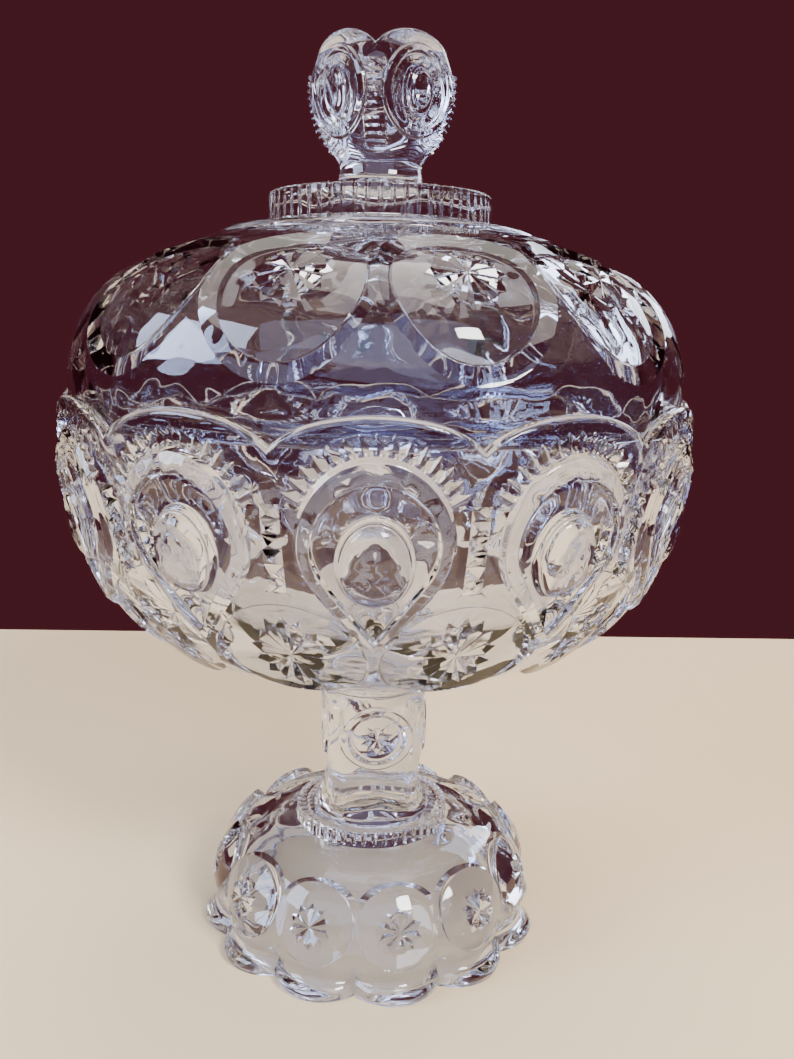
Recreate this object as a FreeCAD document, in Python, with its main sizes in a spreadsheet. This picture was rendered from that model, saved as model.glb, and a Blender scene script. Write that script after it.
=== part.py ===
"""Covered compote in pressed glass: a domed foot, a four-sided stem and a wafer under
a deep bowl with an arched rim, and a loose domed cover with a square finial.

Frame: millimetres, +Z up along the axis of the compote, origin on the table at the
centre of the foot. The first arch of the rim faces -Y. Angles are measured from -Y
towards +X.
"""
import FreeCAD, Part
import math
import os
import Sketcher

# Outlines, revolved about the axis. Each point has a name, a radius, a height and the
# radius of the arc that leads to the next point: 0 is straight, and the sign says on
# which side of the walk the arc's centre lies.
OUTLINES = {
    "foot": [
        ("rest_outer", 58.5, 0.0, 0.0),
        ("lip_top", 58.5, 5.5, 92.0),
        ("dome_edge", 45.5, 33.2, 14.0),
        ("dome_top", 40.0, 35.4, 0.0),
        ("collar_base", 26.5, 36.8, 0.0),
        ("collar_top", 26.5, 42.0, 0.0),
        ("top_centre", 0.0, 42.0, 0.0),
        ("hollow_centre", 0.0, 31.5, 0.0),
        ("hollow_top", 34.0, 30.0, -8.0),
        ("hollow_edge", 41.0, 27.0, -92.0),
        ("rest_inner", 52.5, 0.0, 0.0),
    ],
    "stem": [
        ("base_centre", 0.0, 42.0, 0.0),
        ("base_edge", 21.0, 42.0, -16.0),
        ("waist", 16.6, 57.0, -9.0),
        ("panel_low", 20.0, 65.0, 0.0),
        ("panel_high", 20.0, 79.0, 30.0),
        ("shoulder", 17.7, 87.0, 0.0),
        ("top_centre", 0.0, 87.0, 0.0),
    ],
    "wafer": [
        ("base_centre", 0.0, 87.0, 0.0),
        ("base_edge", 17.9, 87.0, 1.3),
        ("top_edge", 17.9, 89.5, 0.0),
        ("top_centre", 0.0, 89.5, 0.0),
    ],
    "bowl": [
        ("base_centre", 0.0, 89.5, 0.0),
        ("base_edge", 18.5, 89.5, 0.0),
        ("belly_low", 60.0, 106.3, 80.0),
        ("belly_mid", 86.0, 122.5, 75.0),
        ("belly_high", 98.3, 152.0, 160.0),
        ("rim_base", 102.3, 180.0, 0.0),
        ("rim_outer", 102.3, 189.5, 0.0),
        ("rim_inner", 98.2, 189.5, 0.0),
        ("ledge_outer", 98.2, 180.2, 0.0),
        ("ledge_inner", 93.2, 180.2, 0.0),
        ("inside_high", 92.3, 152.0, -69.0),
        ("inside_mid", 79.4, 127.8, -74.0),
        ("inside_low", 57.2, 113.2, 0.0),
        ("inside_floor", 18.5, 96.6, -160.0),
        ("floor_centre", 0.0, 95.5, 0.0),
    ],
    "cover": [
        ("rim_outer", 97.6, 180.5, 0.0),
        ("band_top", 97.6, 196.0, 39.0),
        ("dome_low", 91.1, 215.2, 54.0),
        ("dome_mid", 77.6, 228.0, 290.0),
        ("dome_top", 50.5, 237.8, 0.0),
        ("step_edge", 48.1, 240.0, 0.0),
        ("disc_base", 35.5, 242.3, 0.0),
        ("disc_edge", 35.5, 251.3, 0.0),
        ("disc_centre", 0.0, 251.3, 0.0),
        ("inside_centre", 0.0, 239.5, 0.0),
        ("inside_top", 48.0, 233.0, 0.0),
        ("inside_mid", 75.4, 223.5, -49.0),
        ("inside_low", 87.0, 212.4, -34.0),
        ("band_inside", 92.6, 196.0, 0.0),
        ("rim_inner", 92.6, 180.5, 0.0),
    ],
    "finial": [
        ("base_centre", 0.0, 251.3, 0.0),
        ("base_edge", 20.0, 251.3, -9.0),
        ("neck_low", 13.4, 258.0, 0.0),
        ("neck_high", 13.4, 262.0, -42.0),
        ("head_wide", 23.6, 283.0, 60.0),
        ("head_top", 21.8, 299.5, 0.0),
        ("top_centre", 0.0, 299.5, 0.0),
    ],
}

# Other sizes. A moon is a round or oval boss: its centre, its tilt above the horizon,
# its half sizes across and along, and its half depth. The cover's moons are flat discs:
# the centre of the back, the radius and the thickness. First angles are of the first one.
SIZES = {
    "arch_count": 12.0,
    "arch_first_angle": 15.0,
    "arch_notch_height": 181.5,
    "arch_notch_half_width": 24.0,
    "arch_notch_rise": 7.6,
    "arch_notch_arc": 40.3,
    "arch_cut_length": 112.5,
    "scallop_count": 12.0,
    "scallop_first_angle": 25.0,
    "scallop_notch_radius": 54.4,
    "scallop_notch_outer_radius": 61.4,
    "scallop_notch_half_width": 8.5,
    "button_first_angle": 0.0,
    "button_radius": 97.2,
    "button_height": 152.3,
    "button_tilt": -10.0,
    "button_half_across": 9.8,
    "button_half_along": 12.5,
    "button_half_depth": 4.2,
    "belly_moon_first_angle": 15.0,
    "belly_moon_radius": 83.1,
    "belly_moon_height": 122.1,
    "belly_moon_tilt": -38.0,
    "belly_moon_half_across": 15.0,
    "belly_moon_half_along": 15.0,
    "belly_moon_half_depth": 3.4,
    "cover_moon_first_angle": 15.0,
    "cover_moon_radius": 84.7,
    "cover_moon_height": 218.4,
    "cover_moon_tilt": 45.0,
    "cover_moon_disc_radius": 15.0,
    "cover_moon_thickness": 3.6,
    "foot_moon_first_angle": 10.0,
    "foot_moon_radius": 50.8,
    "foot_moon_height": 20.6,
    "foot_moon_tilt": 26.0,
    "foot_moon_half_across": 10.6,
    "foot_moon_half_along": 10.6,
    "foot_moon_half_depth": 3.2,
    "stem_side_angle": 5.0,
    "stem_side_length": 34.6,
    "stem_side_height": 45.0,
    "stem_moon_first_angle": 5.0,
    "stem_moon_radius": 16.6,
    "stem_moon_height": 72.0,
    "stem_moon_tilt": 0.0,
    "stem_moon_half_across": 10.5,
    "stem_moon_half_along": 10.5,
    "stem_moon_half_depth": 2.4,
    "finial_side_angle": 39.0,
    "finial_side_length": 36.4,
    "finial_notch_radius": 27.0,
    "finial_notch_height": 293.3,
    "finial_notch_side": 15.0,
    "finial_side_height": 48.2,
    "finial_button_first_angle": 39.0,
    "finial_button_radius": 16.6,
    "finial_button_height": 282.0,
    "finial_button_tilt": 0.0,
    "finial_button_half_across": 8.0,
    "finial_button_half_along": 9.5,
    "finial_button_half_depth": 2.6,
}

NEAR_ZERO = 1e-9
FULL_TURN = 360.0
SIDES = 4
SIDE_TURN = FULL_TURN / SIDES
HALF_SIDE_TURN = SIDE_TURN / 2
DOC = FreeCAD.newDocument("covered_compote")
SHEET = DOC.addObject("Spreadsheet::Sheet", "Sizes")


def fill_sheet():
    """Put every outline point and every other size in the sheet, one alias each."""
    cells = dict(SIZES)
    for part, points in OUTLINES.items():
        for name, radius, height, arc in points:
            cells[f"{part}_{name}_radius"] = radius
            cells[f"{part}_{name}_height"] = height
            if arc:
                cells[f"{part}_{name}_arc"] = abs(arc)
    for row, (alias, value) in enumerate(cells.items(), start=1):
        SHEET.set(f"A{row}", alias)
        SHEET.set(f"B{row}", str(value))
        SHEET.setAlias(f"B{row}", alias)
    DOC.recompute()


def size(alias):
    return float(SHEET.get(alias))


def origin_part(body, role):
    """One of a body's own origin planes or axes."""
    return next(item for item in body.Origin.OriginFeatures if item.Role == role)


def new_body(name):
    return DOC.addObject("PartDesign::Body", name)


def new_sketch(body, name, role, turn_axis=None, turn=0.0):
    """A sketch on one of the body's own origin planes, turned about one of its axes."""
    sketch = body.newObject("Sketcher::SketchObject", name)
    sketch.AttachmentSupport = [(origin_part(body, role), "")]
    sketch.MapMode = "FlatFace"
    if turn_axis:
        rotation = FreeCAD.Rotation(FreeCAD.Vector(*turn_axis), turn)
        sketch.AttachmentOffset = FreeCAD.Placement(FreeCAD.Vector(), rotation)
    return sketch


def arc_between(start, end, arc):
    """The shorter arc of a circle from start to end; its centre is left for arc > 0."""
    chord = end - start
    side = FreeCAD.Vector(-chord.y, chord.x, 0).normalize()
    reach = math.sqrt(arc * arc - (chord.Length / 2) ** 2)
    centre = (start + end) * 0.5 + side * math.copysign(reach, arc)
    circle = Part.Circle(centre, FreeCAD.Vector(0, 0, 1), abs(arc))
    first, last = (start, end) if arc > 0 else (end, start)
    return Part.ArcOfCircle(circle, circle.parameter(first), circle.parameter(last))


def bind_distance(sketch, kind, edge, point, value, cell):
    """Tie one coordinate of a point to its cell, or to the axis where it is zero."""
    if abs(value) < NEAR_ZERO:
        axis = -2 if kind == "DistanceX" else -1
        sketch.addConstraint(Sketcher.Constraint("PointOnObject", edge, point, axis))
        return
    index = sketch.addConstraint(Sketcher.Constraint(kind, -1, 1, edge, point, value))
    sketch.setExpression(f"Constraints[{index}]", f"Sizes.{cell}")


def draw_outline(sketch, part):
    """Draw a closed outline whose points and arcs are tied to the sheet."""
    points = OUTLINES[part]
    places = [FreeCAD.Vector(radius, height, 0) for _, radius, height, _ in points]
    ends = []
    for index, (_, _, _, arc) in enumerate(points):
        start = places[index]
        end = places[(index + 1) % len(points)]
        edge = arc_between(start, end, arc) if arc else Part.LineSegment(start, end)
        sketch.addGeometry(edge, False)
        ends.append((2, 1) if arc < 0 else (1, 2))
    for index, (name, radius, height, arc) in enumerate(points):
        following = (index + 1) % len(points)
        joint = (index, ends[index][1], following, ends[following][0])
        sketch.addConstraint(Sketcher.Constraint("Coincident", *joint))
        corner = ends[index][0]
        bind_distance(sketch, "DistanceX", index, corner, radius, f"{part}_{name}_radius")
        bind_distance(sketch, "DistanceY", index, corner, height, f"{part}_{name}_height")
        if arc:
            bend = sketch.addConstraint(Sketcher.Constraint("Radius", index, abs(arc)))
            sketch.setExpression(f"Constraints[{bend}]", f"Sizes.{part}_{name}_arc")


def turned_body(part):
    """A body made by turning the part's outline once about the axis."""
    body = new_body(f"{part}_blank")
    sketch = new_sketch(body, f"{part}_outline", "XZ_Plane")
    draw_outline(sketch, part)
    turning = body.newObject("PartDesign::Revolution", f"{part}_turned")
    turning.Profile = sketch
    turning.ReferenceAxis = (sketch, ["V_Axis"])
    turning.Angle = FULL_TURN
    DOC.recompute()
    return body


def repeat_cut(body, cut, name, count_alias):
    """Repeat a cut around the axis and check that the pattern took material away."""
    single = body.Shape.Volume
    pattern = body.newObject("PartDesign::PolarPattern", name)
    pattern.Originals = [cut]
    pattern.Axis = (origin_part(body, "Z_Axis"), [""])
    pattern.Angle = FULL_TURN
    pattern.setExpression("Occurrences", f"Sizes.{count_alias}")
    body.Tip = pattern
    DOC.recompute()
    if body.Shape.Volume >= single:
        raise RuntimeError(f"{name} took nothing away")


def cut_rim_arches(body):
    """Cut the notches between the arches: two curved sides meeting in a point."""
    turn = size("arch_first_angle")
    sketch = new_sketch(body, "arch_notch", "XZ_Plane", (0, 1, 0), turn)
    low = size("arch_notch_height")
    half = size("arch_notch_half_width")
    top = low + size("arch_notch_rise")
    sky = top + size("arch_notch_rise")
    point = FreeCAD.Vector(0, low, 0)
    right = FreeCAD.Vector(half, top, 0)
    left = FreeCAD.Vector(-half, top, 0)
    sketch.addGeometry(arc_between(right, point, size("arch_notch_arc")), False)
    sketch.addGeometry(arc_between(point, left, size("arch_notch_arc")), False)
    sketch.addGeometry(Part.LineSegment(left, FreeCAD.Vector(-half, sky, 0)), False)
    sketch.addGeometry(Part.LineSegment(FreeCAD.Vector(-half, sky, 0),
                                        FreeCAD.Vector(half, sky, 0)), False)
    sketch.addGeometry(Part.LineSegment(FreeCAD.Vector(half, sky, 0), right), False)
    whole = body.Shape.Volume
    cut = body.newObject("PartDesign::Pocket", "arch_cut")
    cut.Profile = sketch
    cut.Type = "Length"
    cut.Reversed = True
    cut.setExpression("Length", "Sizes.arch_cut_length")
    DOC.recompute()
    if body.Shape.Volume >= whole:
        raise RuntimeError("the arch notch took nothing away")
    repeat_cut(body, cut, "arches", "arch_count")


def cut_foot_scallops(body):
    """Cut the notches between the scallops of the foot's edge."""
    turn = size("scallop_first_angle")
    sketch = new_sketch(body, "scallop_notch", "XY_Plane", (0, 0, 1), turn)
    inner = size("scallop_notch_radius")
    half = size("scallop_notch_half_width")
    outer = size("scallop_notch_outer_radius")
    corners = [FreeCAD.Vector(0, -inner, 0), FreeCAD.Vector(half, -outer, 0),
               FreeCAD.Vector(-half, -outer, 0)]
    for index, corner in enumerate(corners):
        following = corners[(index + 1) % len(corners)]
        sketch.addGeometry(Part.LineSegment(corner, following), False)
    whole = body.Shape.Volume
    cut = body.newObject("PartDesign::Pocket", "scallop_cut")
    cut.Profile = sketch
    cut.Type = "Length"
    cut.Reversed = True
    cut.setExpression("Length", "Sizes.foot_dome_top_height")
    DOC.recompute()
    if body.Shape.Volume >= whole:
        raise RuntimeError("the scallop notch took nothing away")
    repeat_cut(body, cut, "scallops", "scallop_count")


def oval_boss(moon, name):
    boss = DOC.addObject("Part::Ellipsoid", name)
    boss.setExpression("Radius1", f"Sizes.{moon}_half_depth")
    boss.setExpression("Radius2", f"Sizes.{moon}_half_across")
    boss.setExpression("Radius3", f"Sizes.{moon}_half_along")
    return boss


def disc_boss(moon, name):
    boss = DOC.addObject("Part::Cylinder", name)
    boss.setExpression("Radius", f"Sizes.{moon}_disc_radius")
    boss.setExpression("Height", f"Sizes.{moon}_thickness")
    return boss


def add_moons(solid, moon, count, label, make_boss=oval_boss):
    """Fuse a ring of bosses onto a solid, each leaning out at the moon's tilt."""
    members = [solid]
    for index in range(count):
        boss = make_boss(moon, f"{moon}_{index + 1}")
        angle = size(f"{moon}_first_angle") + FULL_TURN * index / count
        tilt = FreeCAD.Rotation(FreeCAD.Vector(1, 0, 0), -size(f"{moon}_tilt"))
        face = FreeCAD.Rotation(FreeCAD.Vector(0, 0, 1), angle)
        upright = FreeCAD.Rotation(FreeCAD.Vector(1, 0, 0), SIDE_TURN)
        place = face.multVec(FreeCAD.Vector(0, -size(f"{moon}_radius"), 0))
        place.z = size(f"{moon}_height")
        boss.Placement = FreeCAD.Placement(place, face * tilt * upright)
        members.append(boss)
    fused = DOC.addObject("Part::MultiFuse", f"{moon}_ring")
    fused.Shapes = members
    fused.Label = label
    return fused


def four_sided(solid, part):
    """Keep only what lies inside a square column turned to the part's own sides."""
    column = DOC.addObject("Part::Box", f"{part}_column")
    column.setExpression("Length", f"Sizes.{part}_side_length")
    column.setExpression("Width", f"Sizes.{part}_side_length")
    column.setExpression("Height", f"Sizes.{part}_side_height")
    turn = FreeCAD.Rotation(FreeCAD.Vector(0, 0, 1), size(f"{part}_side_angle"))
    half = size(f"{part}_side_length") / 2
    corner = turn.multVec(FreeCAD.Vector(-half, -half, 0))
    corner.z = OUTLINES[part][0][2]
    column.Placement = FreeCAD.Placement(corner, turn)
    common = DOC.addObject("Part::Common", f"{part}_sides")
    common.Base = solid
    common.Tool = column
    return common


def make_foot():
    body = turned_body("foot")
    cut_foot_scallops(body)
    return add_moons(body, "foot_moon", int(size("scallop_count")), "foot")


def make_stem():
    sides = four_sided(turned_body("stem"), "stem")
    return add_moons(sides, "stem_moon", SIDES, "stem")


def make_wafer():
    body = turned_body("wafer")
    body.Label = "wafer"
    return body


def make_bowl():
    body = turned_body("bowl")
    cut_rim_arches(body)
    count = int(size("arch_count"))
    buttons = add_moons(body, "button", count, "bowl_with_buttons")
    return add_moons(buttons, "belly_moon", count, "bowl")


def make_cover():
    body = turned_body("cover")
    return add_moons(body, "cover_moon", int(size("arch_count")), "cover", disc_boss)


def make_finial():
    """Square head with its four corners notched at the top."""
    head = four_sided(turned_body("finial"), "finial")
    for index in range(SIDES):
        notch = DOC.addObject("Part::Box", f"finial_notch_{index + 1}")
        for edge in ("Length", "Width", "Height"):
            notch.setExpression(edge, "Sizes.finial_notch_side")
        corner_angle = size("finial_side_angle") + HALF_SIDE_TURN + SIDE_TURN * index
        turn = FreeCAD.Rotation(FreeCAD.Vector(0, 0, 1), corner_angle)
        edge_down = FreeCAD.Rotation(FreeCAD.Vector(0, 1, 0), -HALF_SIDE_TURN)
        place = turn.multVec(FreeCAD.Vector(0, -size("finial_notch_radius"), 0))
        place.z = size("finial_notch_height")
        notch.Placement = FreeCAD.Placement(place, turn * edge_down)
        cut = DOC.addObject("Part::Cut", f"finial_cut_{index + 1}")
        cut.Base = head
        cut.Tool = notch
        head = cut
    return add_moons(head, "finial_button", SIDES, "finial")


def check_document():
    for item in DOC.Objects:
        if "Invalid" in item.State or "Error" in item.State:
            raise RuntimeError(f"{item.Label} failed: {item.State}")


def export(parts):
    os.makedirs("parts", exist_ok=True)
    for item in parts:
        shape = item.Shape
        if shape.isNull() or not shape.isValid() or len(shape.Solids) != 1:
            raise RuntimeError(f"{item.Label} is not one valid solid")
        print(f"{item.Label}: {shape.Volume / 1000:.1f} cm3, box {shape.BoundBox}")
        shape.exportStep(f"parts/{item.Label}.step")


fill_sheet()
MAKERS = [make_foot, make_stem, make_wafer, make_bowl, make_cover, make_finial]
PARTS = [make() for make in MAKERS]
DOC.recompute()
check_document()
export(PARTS)
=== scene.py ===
"""Looks of the covered compote: clear pressed glass, modelled from its pattern.

Every glass piece is a skin of triangles laid on turned profiles. The pattern is a height
over a profile, and the triangles follow the pattern's edges. Each corner's normal is
measured just inside its own face, so edges stay sharp and faces smooth. Lengths are
millimetres until a mesh is made. Angles are measured from -Y, the front, towards +X.
"""
import json
import math

import bpy
import numpy as np
from mathutils import Euler, Matrix, Vector
from mathutils.geometry import delaunay_2d_cdt


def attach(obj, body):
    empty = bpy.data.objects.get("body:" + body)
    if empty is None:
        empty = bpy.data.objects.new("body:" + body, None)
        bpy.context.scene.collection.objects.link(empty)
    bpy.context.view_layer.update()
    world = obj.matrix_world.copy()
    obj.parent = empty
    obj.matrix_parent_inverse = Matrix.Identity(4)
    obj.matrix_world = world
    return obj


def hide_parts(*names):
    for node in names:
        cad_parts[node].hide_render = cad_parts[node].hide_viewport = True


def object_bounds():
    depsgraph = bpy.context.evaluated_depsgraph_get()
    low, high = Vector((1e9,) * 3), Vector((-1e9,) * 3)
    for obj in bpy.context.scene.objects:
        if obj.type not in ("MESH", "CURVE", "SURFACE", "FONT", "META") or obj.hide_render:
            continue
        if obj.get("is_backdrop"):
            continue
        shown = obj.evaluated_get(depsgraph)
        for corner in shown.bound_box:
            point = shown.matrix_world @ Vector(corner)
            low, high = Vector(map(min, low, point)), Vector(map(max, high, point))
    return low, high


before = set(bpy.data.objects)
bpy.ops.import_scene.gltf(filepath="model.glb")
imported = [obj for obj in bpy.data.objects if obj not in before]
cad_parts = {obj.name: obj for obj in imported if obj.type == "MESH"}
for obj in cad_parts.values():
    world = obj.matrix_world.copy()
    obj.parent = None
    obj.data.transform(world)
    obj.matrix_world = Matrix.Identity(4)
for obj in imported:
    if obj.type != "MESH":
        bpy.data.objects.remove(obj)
CAD_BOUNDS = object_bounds()

MM = 0.001
FULL = 2 * math.pi
DEGREE = math.pi / 180
COLUMNS = 480                # columns of every turned band
INSET = 0.03                 # how far into its face a corner's normal is measured
TINY_TURN = 2e-5             # steps of the finite differences, radians and millimetres
TINY_STEP = 2e-3
LEAST_AREA = 1e-7            # smaller triangles are left out: in space, and as laid out flat
LEAST_FLAT = 1e-9
WELD = 1e-3                  # cell in which corners become one vertex
NEAREST = 4e-3               # corners of a cut sheet are never closer than this
SIDE_STEP = 0.75             # spacing on a sector's sides, in steps of the filling
EDGE_GAP, POINT_GAP = 0.4, 0.55    # what the filling leaves to edges and to drawn points
ROUNDING = 1e-6
SNAP = 0.02                  # a point this near a sector's side or middle is put on it
SEAM = 1e-5                  # the same for a corner of a cut triangle, in radians
INSIDE_LINES = 1             # the cut keeps only triangles inside the outer lines


# ---- shapes of one line

def smooth(share):
    """Ease from 0 to 1 with level ends."""
    share = np.clip(share, 0.0, 1.0)
    return share * share * (3 - 2 * share)


def steps(distance, knots):
    """Heights at given distances, eased from one to the next and level beyond."""
    result = np.full(np.shape(distance), float(knots[0][1]))
    for (near, low), (far, high) in zip(knots, knots[1:]):
        result = result + (high - low) * smooth((distance - near) / (far - near))
    return result


class Profile:
    """A smooth outline of radius and height, measured along its own length."""

    def __init__(self, points, rows=400):
        spots = np.array(points, float)
        lengths = np.concatenate([[0], np.cumsum(np.hypot(*np.diff(spots, axis=0).T))])
        fine = np.linspace(0, lengths[-1], rows)
        dense = np.stack([natural_spline(lengths, spots[:, i], fine) for i in (0, 1)], 1)
        run = np.hypot(*np.diff(dense, axis=0).T)
        self.at = np.concatenate([[0], np.cumsum(run)])
        self.spots = dense
        self.length = self.at[-1]
        slope = np.gradient(dense, self.at, axis=0)
        self.tangents = slope / np.hypot(*slope.T)[:, None]

    def place(self, v):
        """Radius, height and outward normal at each length along the outline."""
        radius = cubic(self.at, self.spots[:, 0], self.tangents[:, 0], v)
        height = cubic(self.at, self.spots[:, 1], self.tangents[:, 1], v)
        lean_r = np.interp(v, self.at, self.tangents[:, 0])
        lean_z = np.interp(v, self.at, self.tangents[:, 1])
        size = np.hypot(lean_r, lean_z)
        return radius, height, lean_z / size, -lean_r / size

    def radius(self, v):
        return cubic(self.at, self.spots[:, 0], self.tangents[:, 0], v)

    def at_height(self, z):
        """Length along the outline at a height, where the outline only rises."""
        return float(np.interp(z, self.spots[:, 1], self.at))

    def at_radius(self, r):
        """Length along the outline at a radius, where the radius only shrinks."""
        return float(np.interp(-r, -self.spots[:, 0], self.at))


def natural_spline(x, y, wanted):
    """A natural cubic spline through the points, read at the wanted places."""
    gaps = np.diff(x)
    count = len(x)
    system = np.eye(count)
    right = np.zeros(count)
    for i in range(1, count - 1):
        system[i, i - 1:i + 2] = gaps[i - 1], 2 * (gaps[i - 1] + gaps[i]), gaps[i]
        rise = (y[i + 1] - y[i]) / gaps[i] - (y[i] - y[i - 1]) / gaps[i - 1]
        right[i] = 6 * rise
    bend = np.linalg.solve(system, right)
    i = np.clip(np.searchsorted(x, wanted) - 1, 0, count - 2)
    left, rest, gap = wanted - x[i], x[i + 1] - wanted, gaps[i]
    curve = (bend[i] * rest ** 3 + bend[i + 1] * left ** 3) / (6 * gap)
    start = (y[i] / gap - bend[i] * gap / 6) * rest
    return curve + start + (y[i + 1] / gap - bend[i + 1] * gap / 6) * left


def cubic(at, values, slopes, v):
    """Cubic between samples with known slopes; straight on beyond the ends."""
    i = np.clip(np.searchsorted(at, v) - 1, 0, len(at) - 2)
    gap = at[i + 1] - at[i]
    t = (v - at[i]) / gap
    inner = ((1 + 2 * t) * (1 - t) ** 2 * values[i] + t * (1 - t) ** 2 * gap * slopes[i]
             + t * t * (3 - 2 * t) * values[i + 1] - t * t * (1 - t) * gap * slopes[i + 1])
    below = values[0] + slopes[0] * (v - at[0])
    above = values[-1] + slopes[-1] * (v - at[-1])
    return np.where(v < at[0], below, np.where(v > at[-1], above, inner))


def around(angle, radius, height):
    """Points of the given angle, radius and height; the front is -Y."""
    return np.stack([radius * np.sin(angle), -radius * np.cos(angle), height], -1)


def relief(profile, angle, length, rise):
    """Points that stand 'rise' out of a profile, along its normal."""
    radius, height, out_r, out_z = profile.place(length)
    return around(angle, radius + rise * out_r, height + rise * out_z)


def half_round(angle, share, outer, inner, level, rise):
    """A rounded edge from an outer to an inner radius, 'rise' over a level at its middle."""
    swing = np.pi * share
    middle, half = (outer + inner) / 2, (outer - inner) / 2
    return around(angle, middle + half * np.cos(swing), level + rise * np.sin(swing))


def level_ring(angle, share, outer, inner, height):
    return around(angle, outer + (inner - outer) * share, np.full(np.shape(angle), height))


def ribbed(angle, radius, ribs, groove, pillar):
    """Radius of a ribbed wall; 'pillar' is the level share of a rib, before its groove."""
    off = np.abs((angle * ribs / FULL) % 1 - 0.5) * 2
    return radius - groove * smooth((off - pillar) / (1 - pillar))


def local_turn(angle, half):
    """Angle from the middle of the sector that it falls in; a sector is twice 'half' wide."""
    return (angle + half) % (2 * half) - half


def shares(count):
    """Even steps from 0 to 1."""
    return np.linspace(0, 1, count + 1)


# ---- skins and meshes

FUSED = 1                    # material number of a fused joint; the glass is 0
FACE_DOWN, FACE_UP = 1, -1   # sides of a level face whose length is the radius
FACE_INWARD = -1             # for a surface that runs the other way about


class Skin:
    """The faces of one piece: their corners, normals and material numbers."""

    def __init__(self):
        self.corners = []
        self.normals = []
        self.materials = []

    def add(self, place, faces, outward=1, material=0):
        """Lay faces, given as corners of (angle, length), on the surface 'place'."""
        middle = faces.mean(axis=1, keepdims=True)
        inner = faces + INSET * (middle - faces)
        a, b = inner[..., 0], inner[..., 1]
        along = place(a + TINY_TURN, b) - place(a - TINY_TURN, b)
        up = place(a, b + TINY_STEP) - place(a, b - TINY_STEP)
        normal = np.cross(along, up)
        size = np.linalg.norm(normal, axis=-1, keepdims=True)
        normal = outward * normal / np.maximum(size, 1e-15)
        spots = place(faces[..., 0], faces[..., 1])
        area = np.cross(spots[:, 1] - spots[:, 0], spots[:, 2] - spots[:, 0])
        first, second = faces[:, 1] - faces[:, 0], faces[:, 2] - faces[:, 0]
        winding = outward * (first[:, 0] * second[:, 1] - first[:, 1] * second[:, 0])
        keep = np.linalg.norm(area, axis=1) > LEAST_AREA
        keep &= np.abs(winding) > LEAST_FLAT
        spots, normal = spots[keep], normal[keep]
        turned = winding[keep] < 0
        spots[turned] = spots[turned][:, ::-1]
        normal[turned] = normal[turned][:, ::-1]
        self.corners.append(spots)
        self.normals.append(normal)
        self.materials.append(np.full(len(spots), material))

    def fuse(self, angles, height, radius, side):
        """Close the piece with a level disc where it is fused to its neighbour."""
        self.add(flat_place(height), grid(angles, [0.0, radius]), side, FUSED)

    def mesh(self, name):
        """Weld corners that share a cell of either of two grids; keep the measured normals."""
        corners = np.concatenate(self.corners).reshape(-1, 3)
        normals = np.concatenate(self.normals)
        materials = np.concatenate(self.materials)
        faces = np.arange(len(corners)).reshape(-1, 3)
        for shift in (0.0, 0.5):
            cells = np.floor(corners / WELD + shift).astype(np.int64)
            _, first, owner = np.unique(cells, axis=0, return_index=True, return_inverse=True)
            corners, faces = corners[first], owner.reshape(-1)[faces]
        whole = (faces[:, 0] != faces[:, 1]) & (faces[:, 1] != faces[:, 2])
        whole &= faces[:, 0] != faces[:, 2]
        faces, normals, materials = faces[whole], normals[whole], materials[whole]
        mesh = bpy.data.meshes.new(name)
        mesh.from_pydata((corners * MM).tolist(), [], faces.tolist())
        mesh.polygons.foreach_set("use_smooth", np.ones(len(faces), bool))
        mesh.polygons.foreach_set("material_index", materials.astype(np.int32))
        mesh.normals_split_custom_set(normals.reshape(-1, 3).tolist())
        mesh.update()
        return mesh


def grid(angles, lengths):
    """Triangles of a grid over the given angles and lengths."""
    a, b = np.meshgrid(angles, lengths, indexing="ij")
    spots = np.stack([a, b], -1)
    p, q, r, s = spots[:-1, :-1], spots[1:, :-1], spots[1:, 1:], spots[:-1, 1:]
    first = np.stack([p, q, r], 2).reshape(-1, 3, 2)
    second = np.stack([p, r, s], 2).reshape(-1, 3, 2)
    return np.concatenate([first, second])


def shifted(faces, turn):
    """The faces, turned round the axis."""
    faces = faces.copy()
    faces[..., 0] += turn
    return faces


def repeated(faces, count):
    """Copies of one sector's faces all the way round."""
    return np.concatenate([shifted(faces, FULL * index / count) for index in range(count)])


def ring_angles(first=0.0):
    return first + np.linspace(0, FULL, COLUMNS + 1)


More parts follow.
